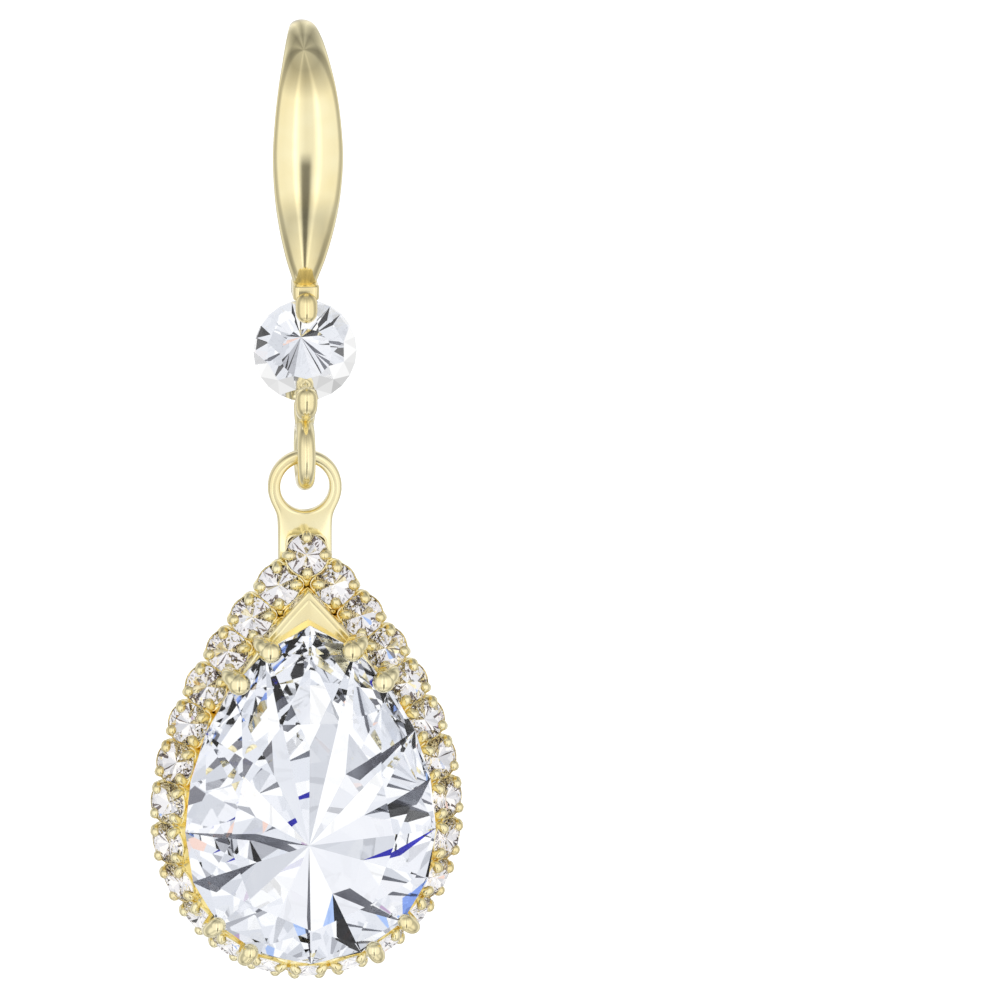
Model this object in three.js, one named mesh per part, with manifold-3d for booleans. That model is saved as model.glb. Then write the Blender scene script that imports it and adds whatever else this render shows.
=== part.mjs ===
// A drop earring on a French hook: a gold leaf in front of the ear, a round stone under it, and a pear
// stone in a claw setting with a halo of small round stones. Millimetres, +Z up, the viewer at -Y.
// The origin is the underside of the hook's crest, where it sits in the ear hole.
import * as THREE from "three";
import { ConvexGeometry } from "three/addons/geometries/ConvexGeometry.js";
import { mergeVertices } from "three/addons/utils/BufferGeometryUtils.js";
import Module from "manifold-3d";

const wasm = await Module();
wasm.setup();

// ---- Driving dimensions ----------------------------------------------------------------------------
const HOOK = {
  sectionSides: 16,
  rowsPerSection: 3,
};
// Down the hook from the tail to the leaf's end: the middle line's place (y, z), the width across the
// hook, the bulge on its outer side and the bulge on its inner side.
const HOOK_SECTIONS = [
  { y: 5.2, z: -9.6, width: 0.7, outer: 0.35, inner: 0.35 },
  { y: 5.05, z: -8.0, width: 0.8, outer: 0.4, inner: 0.4 },
  { y: 4.75, z: -5.9, width: 0.8, outer: 0.4, inner: 0.4 },
  { y: 4.2, z: -3.6, width: 0.8, outer: 0.4, inner: 0.4 },
  { y: 3.3, z: -1.7, width: 0.85, outer: 0.4, inner: 0.4 },
  { y: 1.9, z: -0.2, width: 1.0, outer: 0.4, inner: 0.4 },
  { y: 0.0, z: 0.4, width: 1.35, outer: 0.4, inner: 0.4 },
  { y: -1.45, z: 0.1, width: 1.85, outer: 0.45, inner: 0.36 },
  { y: -2.7, z: -0.75, width: 2.4, outer: 0.52, inner: 0.36 },
  { y: -3.6, z: -2.1, width: 3.0, outer: 0.62, inner: 0.38 },
  { y: -4.0, z: -3.7, width: 3.42, outer: 0.7, inner: 0.4 },
  { y: -4.05, z: -5.6, width: 3.64, outer: 0.74, inner: 0.42 },
  { y: -3.75, z: -7.6, width: 3.42, outer: 0.72, inner: 0.42 },
  { y: -3.15, z: -9.4, width: 2.9, outer: 0.66, inner: 0.4 },
  { y: -2.35, z: -11.2, width: 2.1, outer: 0.58, inner: 0.38 },
  { y: -1.6, z: -12.6, width: 1.25, outer: 0.48, inner: 0.4 },
  { y: -1.35, z: -13.2, width: 1.0, outer: 0.42, inner: 0.42 },
];
const ROUND_STONE = {
  radius: 2.68,
  centre: [0, -1.75, -16.27],
  crown: 0.85,
  girdle: 0.12,
  pavilion: 2.2,
  table: 0.56,
  crownRing: 0.8,
  sides: 8,
};
// The claw wire of the round stone. Depths are from the stone's girdle, to the back when positive.
const STONE_CLAW = {
  radius: 0.5,
  bead: 0.53, // of the tip on the stone's face
  bend: 0.46, // where the wire turns behind the stone's edge
  spine: 0.36, // of the wire behind the stone
  seat: 0.16, // the open space between the stone and its claws
  tipInset: 0.35, // from the stone's edge in to the middle of the tip
  frontDepth: -0.2,
  backDepth: 0.6,
  spineReach: 0.3, // share of the stone's radius
};
// The short bars that join the claw wire to the leaf's end and to the ring.
const COLLAR = { depth: 0.4, end: [0, -1.4, -12.9], radius: 0.42 };
const NECK = { depth: 0.3, end: [0, -1.3, -20.1], radius: 0.44 };
const RING = { centre: [0, -1.3, -21.8], radius: 1.48, wire: 0.45, wireSides: 10, steps: 28 };
const LOOP = {
  centre: [0, -1.3, -23.55],
  outer: 1.91,
  hole: 1.27,
  thickness: 0.8,
  edge: 0.2,
  edgeSteps: 2,
  curveSteps: 14,
};
const TAB = { top: -24.9, bottom: -28.0, point: -29.0, topWidth: 2.5, bottomWidth: 3.05 };
// Teardrop outlines: half width, the height of the widest place, of the top and of the bottom, and the
// two powers of the shoulders' curve.
const HALO_LINE = { half: 7.2, middle: -41.0, top: -26.87, bottom: -48.87, bend: 1.9, blunt: 1 };
const WALL_OUTER = { half: 6.32, middle: -41.0, top: -28.45, bottom: -48.05, bend: 1.9, blunt: 1 };
const WALL_INNER = { half: 5.88, middle: -41.0, top: -29.1, bottom: -47.6, bend: 1.9, blunt: 1 };
const RAIL_OUTER = { half: 6.85, middle: -41.0, top: -27.4, bottom: -48.4, bend: 1.9, blunt: 1 };
const SEAT_INNER = { half: 5.0, middle: -41.2, top: -31.9, bottom: -46.5, bend: 2.1, blunt: 0.8 };
const PEAR_LINE = { half: 6.5, middle: -41.2, top: -30.06, bottom: -48.05, bend: 2.1, blunt: 0.7 };
const WALL = {
  back: -1.2,
  front: -4.3,
  seatBack: -3.3,
  seatFront: -3.9,
  railFront: -1.9,
  outlineSteps: 48,
};
const PEAR = {
  girdleY: -5.2,
  girdle: 0.16,
  crown: 1.5,
  pavilion: 3.9,
  table: 0.56,
  crownRing: 0.8,
  lowerRing: 0.5,
  culetZ: -41.6,
  sides: 12,
};
// Where the claws of the pear stone stand: the upper pairs at shares of the height above the widest
// place, the lower pairs at shares of the height below it. Depths are from the stone's girdle.
const PEAR_CLAW = {
  radius: 0.34,
  bead: 0.5,
  upper: [0.895, 0.745],
  lower: [0.66, 0.87],
  upperAngle: 0.6, // radians above the horizontal that the upper claws lean out
  footY: -4.15,
  footOut: 0.05,
  kneeOut: 0.6,
  kneeDepth: 0.1,
  tipDepth: -0.8,
};
const HALO = {
  stones: 26,
  stoneY: -2.85, // of the stones' girdles
  stoneRadius: 0.95,
  crown: 0.36,
  pavilion: 0.75,
  table: 0.55,
  cupRadius: 1.0,
  cupDepth: 1.15,
  cupFoot: 0.75, // share of the cup's radius
  cupWall: 0.15,
  cupFloor: 0.25,
  cupRim: -0.15,
  prong: 0.15,
  prongFoot: 0.3, // in from the prong's place, and up from the cup's base
  bead: 0.24,
  beadHeight: 0.34,
  beadInset: 0.05,
  prongReach: 0.8, // half the side of the square that the four prongs stand on
  tiltTop: 12,
  tiltBottom: 68,
  sides: 8,
};
// Shares of a brilliant cut: how high the ring between table and girdle lies, and how far the ring of
// the lower facets bulges past a straight cone.
const CUT = { crownRingHeight: 0.62, lowerBulge: 1.12 };

// ---- Materials -------------------------------------------------------------------------------------
const gold = new THREE.MeshStandardMaterial({ color: "#d9b65c", roughness: 0.16, metalness: 1 });
const crystal = new THREE.MeshStandardMaterial({ color: "#eef2f7", roughness: 0.04, metalness: 0.1 });
const haloCrystal = new THREE.MeshStandardMaterial({ color: "#f3ebe2", roughness: 0.05, metalness: 0.1 });

// ---- Solids ----------------------------------------------------------------------------------------
// A closed geometry as a solid that can be joined and cut.
function solid(geometry) {
  const bare = geometry.clone();
  bare.deleteAttribute("normal");
  bare.deleteAttribute("uv");
  const merged = mergeVertices(bare, 1e-5);
  return new wasm.Manifold(new wasm.Mesh({
    numProp: 3,
    vertProperties: new Float32Array(merged.attributes.position.array),
    triVerts: new Uint32Array(merged.index.array),
  }));
}

// A joined solid as a geometry again.
function geometryOf(body) {
  const { vertProperties, triVerts } = body.getMesh();
  const geometry = new THREE.BufferGeometry();
  geometry.setAttribute("position", new THREE.BufferAttribute(vertProperties, 3));
  geometry.setIndex(new THREE.BufferAttribute(triVerts, 1));
  geometry.computeVertexNormals();
  return geometry;
}

// A skin over rings of points, closed at both ends by a fan round each end ring's middle.
function loft(rings) {
  const sides = rings[0].length;
  const points = rings.flat();
  const faces = [];
  for (let row = 0; row < rings.length - 1; row += 1) {
    for (let side = 0; side < sides; side += 1) {
      const next = (side + 1) % sides;
      const a = row * sides + side;
      const b = row * sides + next;
      faces.push(a, b, b + sides, a, b + sides, a + sides);
    }
  }
  for (const row of [0, rings.length - 1]) {
    const middle = new THREE.Vector3();
    rings[row].forEach((point) => middle.add(point));
    points.push(middle.divideScalar(sides));
    for (let side = 0; side < sides; side += 1) {
      const next = (side + 1) % sides;
      const edge = [row * sides + next, row * sides + side];
      faces.push(...(row === 0 ? edge : edge.reverse()), points.length - 1);
    }
  }
  const geometry = new THREE.BufferGeometry().setFromPoints(points);
  geometry.setIndex(faces);
  return geometry;
}

const fineBall = (radius) => new THREE.IcosahedronGeometry(radius, 1);
const plainBall = (radius) => new THREE.IcosahedronGeometry(radius);
const smallBall = (radius) => new THREE.OctahedronGeometry(radius);

// The convex body round a ball at each place, with a radius for each.
function rod(balls, ballOf = fineBall) {
  const points = [];
  for (const [place, radius] of balls) {
    const ball = ballOf(radius).attributes.position;
    for (let i = 0; i < ball.count; i += 1) {
      points.push(new THREE.Vector3().fromBufferAttribute(ball, i).add(place));
    }
  }
  return new ConvexGeometry(points);
}

// ---- Teardrop outlines -----------------------------------------------------------------------------
// The right-hand half of an outline runs from the top (share 0) to the bottom (share 1). Above the widest
// place it is half * (1 - t^bend)^blunt, with t the share of the height; below it is an ellipse.
function outlinePoint(line, share) {
  const turn = share * Math.PI;
  const height = Math.cos(turn);
  if (height > 0) {
    const x = line.half * (1 - height ** line.bend) ** line.blunt;
    return new THREE.Vector2(x, line.middle + height * (line.top - line.middle));
  }
  return new THREE.Vector2(line.half * Math.sin(turn), line.middle + height * (line.middle - line.bottom));
}

const OUTLINE_STEPS = 200;

// The whole outline, clockwise from its top, as points an equal way apart.
function outline(line, count, start = 0) {
  const steps = OUTLINE_STEPS;
  const fine = [];
  for (let i = -steps; i < steps; i += 1) {
    const point = outlinePoint(line, Math.abs(i) / steps);
    fine.push(new THREE.Vector2(Math.sign(i) * point.x, point.y));
  }
  fine.push(fine[0].clone());
  const way = [0];
  for (let i = 1; i < fine.length; i += 1) {
    way.push(way[i - 1] + fine[i].distanceTo(fine[i - 1]));
  }
  const total = way[way.length - 1];
  const points = [];
  for (let i = 0; i < count; i += 1) {
    const wanted = ((((i + start) / count + 0.5) % 1) + 1) % 1 * total;
    const after = Math.max(1, way.findIndex((length) => length >= wanted));
    const part = (wanted - way[after - 1]) / (way[after] - way[after - 1]);
    points.push(fine[after - 1].clone().lerp(fine[after], part));
  }
  return points;
}

// A flat plate between two depths, with a teardrop edge and a teardrop hole.
function teardropBand(outer, inner, front, back, count) {
  const shape = new THREE.Shape(outline(outer, count).reverse());
  shape.holes.push(new THREE.Path(outline(inner, count)));
  const geometry = new THREE.ExtrudeGeometry(shape, { depth: back - front, bevelEnabled: false });
  geometry.rotateX(Math.PI / 2);
  geometry.translate(0, back, 0);
  return geometry;
}

// ---- The ear hook ----------------------------------------------------------------------------------
// One section across the hook: half an ellipse on the outer side and a flatter one on the inner side,
// square to the middle line.
function hookRing(section, along) {
  const outward = new THREE.Vector3(0, along.z, -along.y);
  const points = [];
  for (let side = 0; side < HOOK.sectionSides; side += 1) {
    const turn = (side / HOOK.sectionSides) * Math.PI * 2;
    const bulge = Math.sin(turn) > 0 ? section.outer : section.inner;
    const point = new THREE.Vector3(Math.cos(turn) * section.width * 0.5, section.y, section.z);
    points.push(point.addScaledVector(outward, Math.sin(turn) * bulge));
  }
  return points;
}

function hookBody() {
  const middle = new THREE.CatmullRomCurve3(HOOK_SECTIONS.map((s) => new THREE.Vector3(0, s.y, s.z)));
  const sizes = new THREE.CatmullRomCurve3(
    HOOK_SECTIONS.map((s) => new THREE.Vector3(s.width, s.outer, s.inner)));
  const rows = (HOOK_SECTIONS.length - 1) * HOOK.rowsPerSection;
  const rings = [];
  for (let row = 0; row <= rows; row += 1) {
    const place = middle.getPoint(row / rows);
    const size = sizes.getPoint(row / rows);
    const section = { y: place.y, z: place.z, width: size.x, outer: size.y, inner: size.z };
    rings.push(hookRing(section, middle.getTangent(row / rows)));
  }
  return loft(rings);
}

// The claw wire of the round stone: down from the leaf's end, over the stone's top edge, with a spine
// behind the stone and a claw over its lower edge, down to the ring.
function stoneHolder() {
  const [x, y, z] = ROUND_STONE.centre;
  const { radius, crown, pavilion } = ROUND_STONE;
  const { bead, bend, spine, seat, frontDepth, backDepth } = STONE_CLAW;
  const at = (dy, dz) => new THREE.Vector3(x, y + dy, z + dz);
  const tipDepth = -(crown * ROUND_STONE.table + bead + seat);
  const spineDepth = pavilion + seat + STONE_CLAW.radius;
  const out = radius + STONE_CLAW.radius + seat;
  const spineHalf = radius * STONE_CLAW.spineReach;
  const parts = [];
  for (const side of [1, -1]) {
    const tip = [at(tipDepth, side * (radius - STONE_CLAW.tipInset)), bead];
    const front = [at(frontDepth, side * out), STONE_CLAW.radius];
    const back = [at(backDepth, side * out), bend];
    const spineEnd = [at(spineDepth, side * spineHalf), spine];
    parts.push(rod([tip, front]), rod([front, back]), rod([back, spineEnd]));
  }
  parts.push(rod([[at(spineDepth, spineHalf), spine], [at(spineDepth, -spineHalf), spine]]));
  parts.push(rod([[at(COLLAR.depth, out), bend], [new THREE.Vector3(...COLLAR.end), COLLAR.radius]]));
  parts.push(rod([[at(NECK.depth, -out), bend], [new THREE.Vector3(...NECK.end), NECK.radius]]));
  return parts;
}

function earHook() {
  let body = solid(hookBody());
  for (const part of stoneHolder()) {
    body = body.add(solid(part));
  }
  const ring = new THREE.TorusGeometry(RING.radius, RING.wire, RING.wireSides, RING.steps);
  ring.rotateY(Math.PI / 2);
  ring.translate(...RING.centre);
  return geometryOf(body.add(solid(ring)));
}

// ---- Cut stones ------------------------------------------------------------------------------------
// A brilliant cut as the convex body of its corners: a flat table, a ring between table and girdle, a
// thin girdle, a ring of the lower facets and the point at the back. The face looks to -Y.
function brilliant(cut, ringAt, culet) {
  const half = cut.girdle / 2;
  const twice = cut.sides * 2;
  const points = [];
  const addRing = (count, phase, scale, depth) => points.push(...ringAt(count, phase, scale, depth));
  addRing(cut.sides, 0, cut.table, -half - cut.crown);
  addRing(cut.sides, 0.5, cut.crownRing, -half - cut.crown * CUT.crownRingHeight);
  addRing(twice, 0, 1, -half);
  addRing(twice, 0, 1, half);
  if (cut.lowerRing) {
    const lowerDepth = cut.pavilion * (1 - cut.lowerRing) * CUT.lowerBulge;
    addRing(cut.sides, 0.5, cut.lowerRing, half + lowerDepth);
  }
  points.push(culet);
  return new ConvexGeometry(points);
}

function roundRing(radius) {
  return (count, phase, scale, depth) => {
    const points = [];
    for (let i = 0; i < count; i += 1) {
      const turn = ((i + phase) / count) * Math.PI * 2;
      points.push(new THREE.Vector3(Math.sin(turn), 0, Math.cos(turn)).multiplyScalar(radius * scale));
      points[i].y = depth;
    }
    return points;
  };
}

function roundStone() {
  const cut = ROUND_STONE;
  const back = cut.girdle / 2 + cut.pavilion;
  return brilliant(cut, roundRing(cut.radius), new THREE.Vector3(0, back, 0));
}

function pearStone() {
  const cut = PEAR;
  const middle = new THREE.Vector2(0, cut.culetZ);
  const ringAt = (count, phase, scale, depth) => outline(PEAR_LINE, count, phase).map((point) => {
    const place = point.sub(middle).multiplyScalar(scale).add(middle);
    return new THREE.Vector3(place.x, cut.girdleY + depth, place.y);
  });
  const back = cut.girdleY + cut.girdle / 2 + cut.pavilion;
  return brilliant(cut, ringAt, new THREE.Vector3(0, back, cut.culetZ));
}

// A small halo stone in its own frame: the girdle in the plane z = 0 and the face to +Z.
function haloStone() {
  const ring = roundRing(HALO.stoneRadius);
  const points = ring(HALO.sides, 0.5, HALO.table, -HALO.crown);
  points.push(...ring(HALO.sides, 0.5, 1, 0), new THREE.Vector3(0, HALO.pavilion, 0));
  return new ConvexGeometry(points).rotateX(-Math.PI / 2);
}

// ---- The halo's cups -------------------------------------------------------------------------------
// The frames of the halo's stones: each turns outwards more the farther round from the top it sits.
function haloFrames() {
  const places = outline(HALO_LINE, HALO.stones);
  return places.map((place, i) => {
    const before = places[(i + HALO.stones - 1) % HALO.stones];
    const after = places[(i + 1) % HALO.stones];
    const along = new THREE.Vector3(after.x - before.x, 0, after.y - before.y).normalize();
    const outward = new THREE.Vector3(-along.z, 0, along.x);
    const down = (1 - Math.cos((i / HALO.stones) * Math.PI * 2)) / 2;
    const tilt = THREE.MathUtils.degToRad(HALO.tiltTop + (HALO.tiltBottom - HALO.tiltTop) * down);
    const face = new THREE.Vector3(0, -Math.cos(tilt), 0).addScaledVector(outward, Math.sin(tilt));
    const across = new THREE.Vector3().crossVectors(face, along);
    const frame = new THREE.Matrix4().makeBasis(along, across, face);
    return frame.setPosition(place.x, HALO.stoneY, place.y);
  });
}

// One cup under a stone, in the stone's own frame: a bowl with four prongs whose tips fold over it.
function haloCup(turned) {
  const { cupRadius, cupRim, cupWall, prongFoot } = HALO;
  const base = -HALO.cupDepth;
  const profile = [
    new THREE.Vector2(0, base),
    new THREE.Vector2(cupRadius * HALO.cupFoot, base),
    new THREE.Vector2(cupRadius, cupRim),
    new THREE.Vector2(cupRadius - cupWall, cupRim),
    new THREE.Vector2(0, base + HALO.cupFloor),
  ];
  const bowl = new THREE.LatheGeometry(profile, HALO.sides, Math.PI / HALO.sides).rotateX(Math.PI / 2);
  let cup = solid(bowl);
  for (let corner = 0; corner < 4; corner += 1) {
    const turn = (corner + 0.5 + (turned ? 0.5 : 0)) * Math.PI * 0.5;
    const out = HALO.prongReach * Math.SQRT2;
    const at = (way, z) => new THREE.Vector3(Math.cos(turn) * way, Math.sin(turn) * way, z);
    const foot = [at(out - prongFoot, base + prongFoot), HALO.prong];
    const bead = [at(out - HALO.beadInset, HALO.beadHeight), HALO.bead];
    cup = cup.add(solid(rod([foot, bead], smallBall)));
  }
  return cup;
}

// ---- The drop's frame ------------------------------------------------------------------------------
function dropLoop() {
  const { centre, outer, hole, thickness, edge, edgeSteps, curveSteps } = LOOP;
  const shape = new THREE.Shape().absarc(0, 0, outer - edge, 0, Math.PI * 2);
  shape.holes.push(new THREE.Path().absarc(0, 0, hole + edge, 0, Math.PI * 2));
  const depth = thickness - edge * 2;
  const bevel = { bevelThickness: edge, bevelSize: edge, bevelSegments: edgeSteps };
  const geometry = new THREE.ExtrudeGeometry(shape, { depth, curveSegments: curveSteps, ...bevel });
  geometry.translate(0, 0, -depth / 2);
  return geometry.rotateX(Math.PI / 2).translate(...centre);
}

function dropTab() {
  const { top, bottom, point, topWidth, bottomWidth } = TAB;
  const shape = new THREE.Shape([
    new THREE.Vector2(-topWidth / 2, top),
    new THREE.Vector2(topWidth / 2, top),
    new THREE.Vector2(bottomWidth / 2, bottom),
    new THREE.Vector2(0, point),
    new THREE.Vector2(-bottomWidth / 2, bottom),
  ]);
  const geometry = new THREE.ExtrudeGeometry(shape, { depth: LOOP.thickness, bevelEnabled: false });
  return geometry.rotateX(Math.PI / 2).translate(0, LOOP.centre[1] + LOOP.thickness / 2, 0);
}

// A claw of the pear stone: out of the wall's front edge, past the girdle and over the stone's edge.
function pearClaw(side, place, outward) {
  const { radius, bead, footOut, footY, kneeOut, kneeDepth, tipDepth } = PEAR_CLAW;
  const at = (out, y) => new THREE.Vector3(side * (place.x + outward.x * out), y, place.y + outward.y * out);
  const foot = [at(footOut, footY), radius];
  const knee = [at(kneeOut, PEAR.girdleY + kneeDepth), radius];
  const tip = [at(0, PEAR.girdleY + tipDepth), bead];
  return [rod([foot, knee], plainBall), rod([knee, tip], plainBall)];
}

function pearClaws() {
  const { half, middle, top, bottom, bend, blunt } = PEAR_LINE;
  const lean = PEAR_CLAW.upperAngle;
  const parts = [];
  for (const height of PEAR_CLAW.upper) {
    const place = new THREE.Vector2(half * (1 - height ** bend) ** blunt, middle + height * (top - middle));
    const outward = new THREE.Vector2(Math.cos(lean), Math.sin(lean));
    parts.push(...pearClaw(1, place, outward), ...pearClaw(-1, place, outward));
  }
  for (const drop of PEAR_CLAW.lower) {
    const turn = Math.asin(drop);
    const place = new THREE.Vector2(half * Math.cos(turn), middle - drop * (middle - bottom));
    const outward = new THREE.Vector2(Math.cos(turn), -Math.sin(turn));
    parts.push(...pearClaw(1, place, outward), ...pearClaw(-1, place, outward));
  }
  return parts;
}

function dropFrame(frames) {
  const { front, back, seatFront, seatBack, railFront, outlineSteps } = WALL;
  let body = solid(dropLoop()).add(solid(dropTab()));
  body = body.add(solid(teardropBand(WALL_OUTER, WALL_INNER, front, back, outlineSteps)));
  body = body.add(solid(teardropBand(WALL_OUTER, SEAT_INNER, seatFront, seatBack, outlineSteps)));
  body = body.add(solid(teardropBand(RAIL_OUTER, WALL_INNER, railFront, back, outlineSteps)));
  const holeLength = LOOP.thickness * 3;
  const hole = new THREE.CylinderGeometry(LOOP.hole, LOOP.hole, holeLength, LOOP.curveSteps * 2);
  body = body.subtract(solid(hole.translate(...LOOP.centre)));
  for (const part of pearClaws()) {
    body = body.add(solid(part));
  }
  const firstCup = haloCup(true);
  const nextCup = haloCup(false);
  frames.forEach((frame, i) => {
    const cup = i === 0 ? firstCup : nextCup;
    body = body.add(cup.transform(frame.elements));
  });
  return geometryOf(body);
}

// ---- The assembly ----------------------------------------------------------------------------------
const earring = new THREE.Group();

function place(name, geometry, material) {
  const mesh = new THREE.Mesh(geometry, material);
  mesh.name = name;
  earring.add(mesh);
  return mesh;
}

place("ear_hook", earHook(), gold);
place("round_stone", roundStone(), crystal).position.set(...ROUND_STONE.centre);
const frames = haloFrames();
place("drop_frame", dropFrame(frames), gold);
place("pear_stone", pearStone(), crystal);
frames.forEach((frame, i) => {
  const name = `halo_stone_${String(i + 1).padStart(2, "0")}`;
  place(name, haloStone(), haloCrystal).applyMatrix4(frame);
});

export default earring;
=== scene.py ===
# %% [markdown]
# A drop earring on a French hook. A polished leaf hides the ear wire, a round stone hangs under it
# between two claws, and a pear stone in a halo of small stones swings from a soldered ring.
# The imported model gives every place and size. Metal is rebuilt here as fine surfaces, and each stone
# as a cut crystal with a mirror foil behind it.

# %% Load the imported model
import math

import bpy
import numpy as np
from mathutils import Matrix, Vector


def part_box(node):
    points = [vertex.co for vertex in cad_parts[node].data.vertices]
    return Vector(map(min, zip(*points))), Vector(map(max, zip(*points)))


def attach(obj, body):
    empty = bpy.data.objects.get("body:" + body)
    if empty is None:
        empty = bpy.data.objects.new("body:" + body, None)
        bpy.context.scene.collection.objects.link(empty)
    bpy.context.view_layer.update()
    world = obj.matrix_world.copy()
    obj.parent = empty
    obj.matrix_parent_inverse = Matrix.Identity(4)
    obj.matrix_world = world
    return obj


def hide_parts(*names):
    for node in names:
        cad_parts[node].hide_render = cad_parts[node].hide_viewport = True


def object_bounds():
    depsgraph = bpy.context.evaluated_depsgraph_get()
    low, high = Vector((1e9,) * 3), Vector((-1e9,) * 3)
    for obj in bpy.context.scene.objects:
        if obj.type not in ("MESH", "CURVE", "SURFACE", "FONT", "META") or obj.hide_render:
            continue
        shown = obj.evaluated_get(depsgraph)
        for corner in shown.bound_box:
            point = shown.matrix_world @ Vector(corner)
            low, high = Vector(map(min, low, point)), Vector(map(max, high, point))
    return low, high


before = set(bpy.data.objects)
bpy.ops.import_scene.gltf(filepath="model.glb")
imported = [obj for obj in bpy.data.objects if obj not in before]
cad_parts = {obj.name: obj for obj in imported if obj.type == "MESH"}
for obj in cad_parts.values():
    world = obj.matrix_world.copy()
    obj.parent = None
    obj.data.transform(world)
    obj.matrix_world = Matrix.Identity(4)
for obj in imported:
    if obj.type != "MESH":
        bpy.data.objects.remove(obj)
cad_low, cad_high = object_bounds()
MM = 0.001
print("model box, mm:", [round(v / MM, 1) for v in (*cad_low, *cad_high)])

# %% [markdown]
# The camera stands far off with a long lens, a little above the earring and a little to its left, so
# that the drop shows no perspective. The picture is wider than the earring: the camera looks past it
# to the right, along a parallel line, in place of any lens shift.

# %% Camera
CAMERA_TURN = math.radians(-4.5)
CAMERA_RISE = math.radians(13.0)
CAMERA_FAR = 1.4
PICTURE_WIDTH = 51.55 * MM
LOOK_RIGHT = 10.2 * MM
LOOK_DOWN = -23.97 * MM
SENSOR_WIDTH = 36.0


def camera_axes(turn, rise):
    """Right, up and backward unit vectors of a camera turned about +Z from the -Y side, then raised."""
    right = np.array([math.cos(turn), math.sin(turn), 0.0])
    back = np.array([math.sin(turn) * math.cos(rise), -math.cos(turn) * math.cos(rise), math.sin(rise)])
    return right, np.cross(back, right), back


def add_camera():
    right, up, back = camera_axes(CAMERA_TURN, CAMERA_RISE)
    data = bpy.data.cameras.new("camera")
    data.sensor_width = SENSOR_WIDTH
    data.lens = SENSOR_WIDTH * CAMERA_FAR / PICTURE_WIDTH
    data.clip_end = 10.0
    camera = bpy.data.objects.new("camera", data)
    camera.location = right * LOOK_RIGHT + up * LOOK_DOWN + back * CAMERA_FAR
    camera.rotation_euler = (math.pi / 2 - CAMERA_RISE, 0.0, CAMERA_TURN)
    bpy.context.scene.collection.objects.link(camera)
    bpy.context.scene.camera = camera
    print("lens, mm:", round(data.lens))


add_camera()

# %% [markdown]
# Every shader in this scene is wired up in code. Four small helpers keep that readable: one makes a
# node and fills in its inputs, one does a step of arithmetic, one mixes two colours, and one makes a
# colour ramp.

# %% Node helpers
def node(tree, kind, inputs=(), **settings):
    """One shader node with its settings, and values or links put on its inputs by name or number."""
    made = tree.nodes.new(kind)
    for key, value in settings.items():
        setattr(made, key, value)
    for key, value in dict(inputs).items():
        if isinstance(value, bpy.types.NodeSocket):
            tree.links.new(value, made.inputs[key])
        else:
            made.inputs[key].default_value = value
    return made


def maths(tree, operation, *values):
    return node(tree, "ShaderNodeMath", enumerate(values), operation=operation).outputs[0]


def mix(tree, share, a, b, how="MIX"):
    """Two colours mixed by a share, or multiplied."""
    inputs = {0: share, 6: a, 7: b}
    return node(tree, "ShaderNodeMix", inputs, data_type="RGBA", blend_type=how).outputs[2]


def ramp(tree, factor, stops, smooth="LINEAR"):
    """A colour ramp through stops of (place, colour)."""
    made = node(tree, "ShaderNodeValToRGB", {"Fac": factor})
    made.color_ramp.interpolation = smooth
    elements = made.color_ramp.elements
    while len(elements) < len(stops):
        elements.new(0.5)
    for element, (place, colour) in zip(elements, stops):
        element.position = place
        element.color = (*colour, 1.0) if isinstance(colour, tuple) else (colour, colour, colour, 1.0)
    return made.outputs["Color"]


# %% [markdown]
# Polished gold and clear stones have almost no colour of their own: they show what is around them.
# So the light is a tent painted on the sky: bright panels left and right of the camera with a narrow
# dark gap between them, a darker roof, and greyer sides. The gap draws the dark line down the leaf.
# Light that has crossed a stone sees a pattern of white, grey and a few coloured patches instead, as
# a crystal breaks up the room round it. The camera itself sees plain white behind the earring. A few
# area lamps could light it too, but ramps keep each panel's place and strength in plain sight.

# %% Light tent
# Share of the way round and brightness: from behind (0), past the left (0.25), the camera side (0.5)
# and the right (0.75).
TENT_ROUND = [
    (0.0, 0.6), (0.03, 1.0), (0.07, 0.55), (0.15, 0.9), (0.21, 0.5), (0.27, 0.6), (0.31, 1.0),
    (0.38, 1.0), (0.44, 1.05), (0.455, 1.5), (0.475, 1.05), (0.50, 0.9), (0.53, 0.95), (0.55, 1.4),
    (0.57, 1.05), (0.64, 1.0), (0.69, 1.0), (0.73, 0.6), (0.79, 0.5), (0.85, 0.9), (0.93, 0.55),
    (0.97, 1.0), (1.0, 0.6),
]
# Share of the way up and brightness: from straight down (0) over the horizon (0.5) to straight up (1).
TENT_UP = [
    (0.0, 0.8), (0.12, 0.95), (0.2, 0.65), (0.3, 1.0), (0.45, 1.0), (0.64, 1.0), (0.72, 0.75),
    (0.84, 0.45), (1.0, 0.6),
]
# The gap between the panels, low down on the camera side.
GAP_ROUND = [(0.472, 1.0), (0.486, 0.25), (0.514, 0.25), (0.528, 1.0)]
GAP_UP = [(0.38, 1.0), (0.43, 0.0)]
# What the stones bend into sight: mostly white cloth, patches of shade, a few black gaps, and the blue
# and warm edges that a real stone splits off. The share of each patch is the step to the next one.
STONE_PATCHES = [
    (0.0, 1.1), (0.38, (0.93, 0.94, 0.98)), (0.62, (0.83, 0.85, 0.90)), (0.80, (0.68, 0.70, 0.75)),
    (0.90, (0.47, 0.48, 0.52)), (0.935, (0.20, 0.20, 0.23)), (0.95, 0.02), (0.958, (0.12, 0.18, 0.85)),
    (0.963, (0.40, 0.58, 1.0)), (0.97, (1.0, 0.72, 0.62)), (0.978, (0.55, 0.40, 0.60)), (0.983, 1.1),
]
PATCH_SCALE = 3.4
PATCH_SHIFT = (2.3, 0.7, 5.1)
WHITE = (1.0, 1.0, 1.0, 1.0)
STONE_BOUNCES, METAL_BOUNCES = 24, 8


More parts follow.
